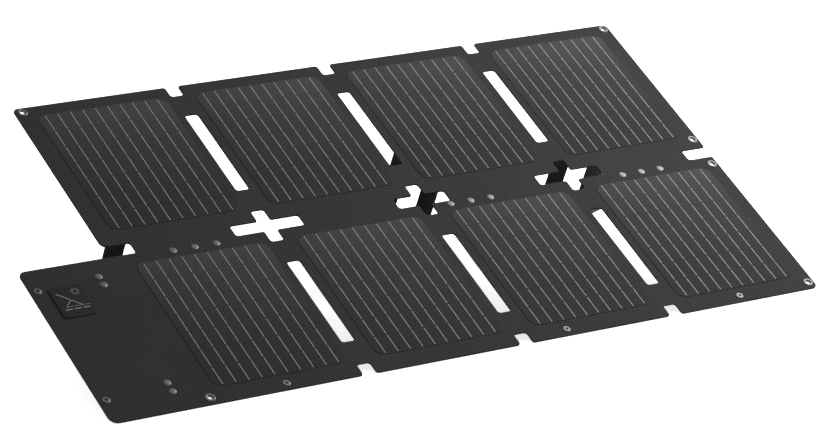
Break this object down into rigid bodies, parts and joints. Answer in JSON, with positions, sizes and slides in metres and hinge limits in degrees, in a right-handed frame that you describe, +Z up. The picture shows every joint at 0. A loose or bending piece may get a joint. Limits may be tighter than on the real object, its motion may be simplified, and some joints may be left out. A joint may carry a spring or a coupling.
{
  "type": "folding solar blanket",
  "caption": "Folding solar blanket of dark cloth with rows of thin solar panels, a carrying flap with snaps and a handle, and fold-out stands that tilt it towards the sun.",
  "frame": {"origin": "centre of the bounding box in X and Y, on the ground under the standing blanket", "axes": "+X to the right along the rows as seen from the low front edge, +Y to the back under the raised row, +Z up"},
  "size_m": [1.0588, 0.4896, 0.2661],
  "materials": {
    "blanket_cloth": "dark charcoal coated twill cloth, matte",
    "cell_laminate": "dark grey-blue solar film with a faint weave and a soft sheen",
    "collector_ribbon": "thin light grey metal ribbon",
    "backing_board": "black stiff board, matte",
    "stand_cloth": "black smooth cloth over a stiff board",
    "handle_webbing": "black woven webbing",
    "label_rubber": "dark grey moulded patch with a light pictogram",
    "bright_hardware": "bright nickel plate",
    "box_plastic": "black moulded plastic, fine grain"
  },
  "bodies": {
    "front_panel_1": {"front_cloth_1": "blanket_cloth", "front_laminate_1": "cell_laminate", "front_ribbons_1": "collector_ribbon", "front_board_1": "backing_board", "grommet_front_left": "bright_hardware", "stand_snap_1": "bright_hardware", "leg_rivets_1": "bright_hardware"},
    "back_panel_1": {"back_cloth_1": "blanket_cloth", "back_laminate_1": "cell_laminate", "back_ribbons_1": "collector_ribbon", "back_board_1": "backing_board", "grommet_back_left": "bright_hardware", "prop_stop_1": "backing_board"},
    "front_panel_2": {"front_cloth_2": "blanket_cloth", "front_laminate_2": "cell_laminate", "front_ribbons_2": "collector_ribbon", "front_board_2": "backing_board", "flap_studs": "bright_hardware", "junction_box": "box_plastic", "output_socket": "box_plastic"},
    "back_panel_2": {"back_cloth_2": "blanket_cloth", "back_laminate_2": "cell_laminate", "back_ribbons_2": "collector_ribbon", "back_board_2": "backing_board"},
    "front_panel_3": {"front_cloth_3": "blanket_cloth", "front_laminate_3": "cell_laminate", "front_ribbons_3": "collector_ribbon", "front_board_3": "backing_board", "stand_snap_2": "bright_hardware", "leg_rivets_2": "bright_hardware"},
    "back_panel_3": {"back_cloth_3": "blanket_cloth", "back_laminate_3": "cell_laminate", "back_ribbons_3": "collector_ribbon", "back_board_3": "backing_board", "prop_stop_2": "backing_board"},
    "front_panel_4": {"front_cloth_4": "blanket_cloth", "front_laminate_4": "cell_laminate", "front_ribbons_4": "collector_ribbon", "front_board_4": "backing_board", "stand_snap_3": "bright_hardware", "leg_rivets_3": "bright_hardware", "grommets_front_right": "bright_hardware"},
    "back_panel_4": {"back_cloth_4": "blanket_cloth", "back_laminate_4": "cell_laminate", "back_ribbons_4": "collector_ribbon", "back_board_4": "backing_board", "prop_stop_3": "backing_board", "grommets_back_right": "bright_hardware"},
    "flap_spine": {"flap_spine_cloth": "blanket_cloth", "carry_handle": "handle_webbing", "handle_rivets": "bright_hardware"},
    "flap_cover": {"flap_cover_cloth": "blanket_cloth", "label_patch": "label_rubber", "flap_snaps": "bright_hardware"},
    "leg_1": {"stand_leg_1": "stand_cloth"},
    "prop_1": {"stand_prop_1": "stand_cloth"},
    "leg_2": {"stand_leg_2": "stand_cloth"},
    "prop_2": {"stand_prop_2": "stand_cloth"},
    "leg_3": {"stand_leg_3": "stand_cloth"},
    "prop_3": {"stand_prop_3": "stand_cloth"}
  },
  "joints": [
    {"name": "fold_12", "type": "hinge", "parent": "front_panel_1", "child": "front_panel_2", "pos_m": [-0.1702, -0.13434, 0.08954], "axis": [0, -0.8796, -0.4756], "range_deg": [0, 180]},
    {"name": "fold_23", "type": "hinge", "parent": "front_panel_2", "child": "front_panel_3", "pos_m": [0.063, -0.1301, 0.08171], "axis": [0, -0.8796, -0.4756], "range_deg": [0, 180]},
    {"name": "fold_34", "type": "hinge", "parent": "front_panel_3", "child": "front_panel_4", "pos_m": [0.2962, -0.12639, 0.07485], "axis": [0, -0.8796, -0.4756], "range_deg": [0, 180]},
    {"name": "row_fold_1", "type": "hinge", "parent": "front_panel_1", "child": "back_panel_1", "pos_m": [-0.2868, -0.00114, 0.13518], "axis": [1, 0, 0], "range_deg": [0, 180]},
    {"name": "row_fold_2", "type": "hinge", "parent": "front_panel_2", "child": "back_panel_2", "pos_m": [-0.0536, -0.00114, 0.13518], "axis": [1, 0, 0], "range_deg": [0, 180]},
    {"name": "row_fold_3", "type": "hinge", "parent": "front_panel_3", "child": "back_panel_3", "pos_m": [0.1796, -0.00114, 0.13518], "axis": [1, 0, 0], "range_deg": [0, 180]},
    {"name": "row_fold_4", "type": "hinge", "parent": "front_panel_4", "child": "back_panel_4", "pos_m": [0.4128, -0.00114, 0.13518], "axis": [1, 0, 0], "range_deg": [0, 180]},
    {"name": "flap_spine_fold", "type": "hinge", "parent": "front_panel_1", "child": "flap_spine", "pos_m": [-0.4049, -0.12723, 0.06667], "axis": [0, 0.8796, 0.4756], "range_deg": [0, 90]},
    {"name": "flap_cover_fold", "type": "hinge", "parent": "flap_spine", "child": "flap_cover", "pos_m": [-0.4585, -0.12723, 0.06667], "axis": [0, 0.8796, 0.4756], "range_deg": [0, 90]},
    {"name": "leg_fold_1", "type": "hinge", "parent": "front_panel_1", "child": "leg_1", "pos_m": [-0.2844, -0.02151, 0.11871], "axis": [-1, 0, 0], "range_deg": [0, 123.43]},
    {"name": "prop_fold_1", "type": "hinge", "parent": "leg_1", "child": "prop_1", "pos_m": [-0.2844, 0.17326, 0.01749], "axis": [1, 0, 0], "range_deg": [0, 35.43]},
    {"name": "leg_fold_2", "type": "hinge", "parent": "front_panel_3", "child": "leg_2", "pos_m": [0.1298, -0.02151, 0.11871], "axis": [-1, 0, 0], "range_deg": [0, 123.43]},
    {"name": "prop_fold_2", "type": "hinge", "parent": "leg_2", "child": "prop_2", "pos_m": [0.1298, 0.17326, 0.01749], "axis": [1, 0, 0], "range_deg": [0, 35.43]},
    {"name": "leg_fold_3", "type": "hinge", "parent": "front_panel_4", "child": "leg_3", "pos_m": [0.4056, -0.02151, 0.11871], "axis": [-1, 0, 0], "range_deg": [0, 123.43]},
    {"name": "prop_fold_3", "type": "hinge", "parent": "leg_3", "child": "prop_3", "pos_m": [0.4056, 0.17326, 0.01749], "axis": [1, 0, 0], "range_deg": [0, 35.43]}
  ],
  "couplings": [
    {"joint": "row_fold_2", "follows": "row_fold_1", "ratio": 1},
    {"joint": "row_fold_3", "follows": "row_fold_1", "ratio": 1},
    {"joint": "row_fold_4", "follows": "row_fold_1", "ratio": 1}
  ]
}
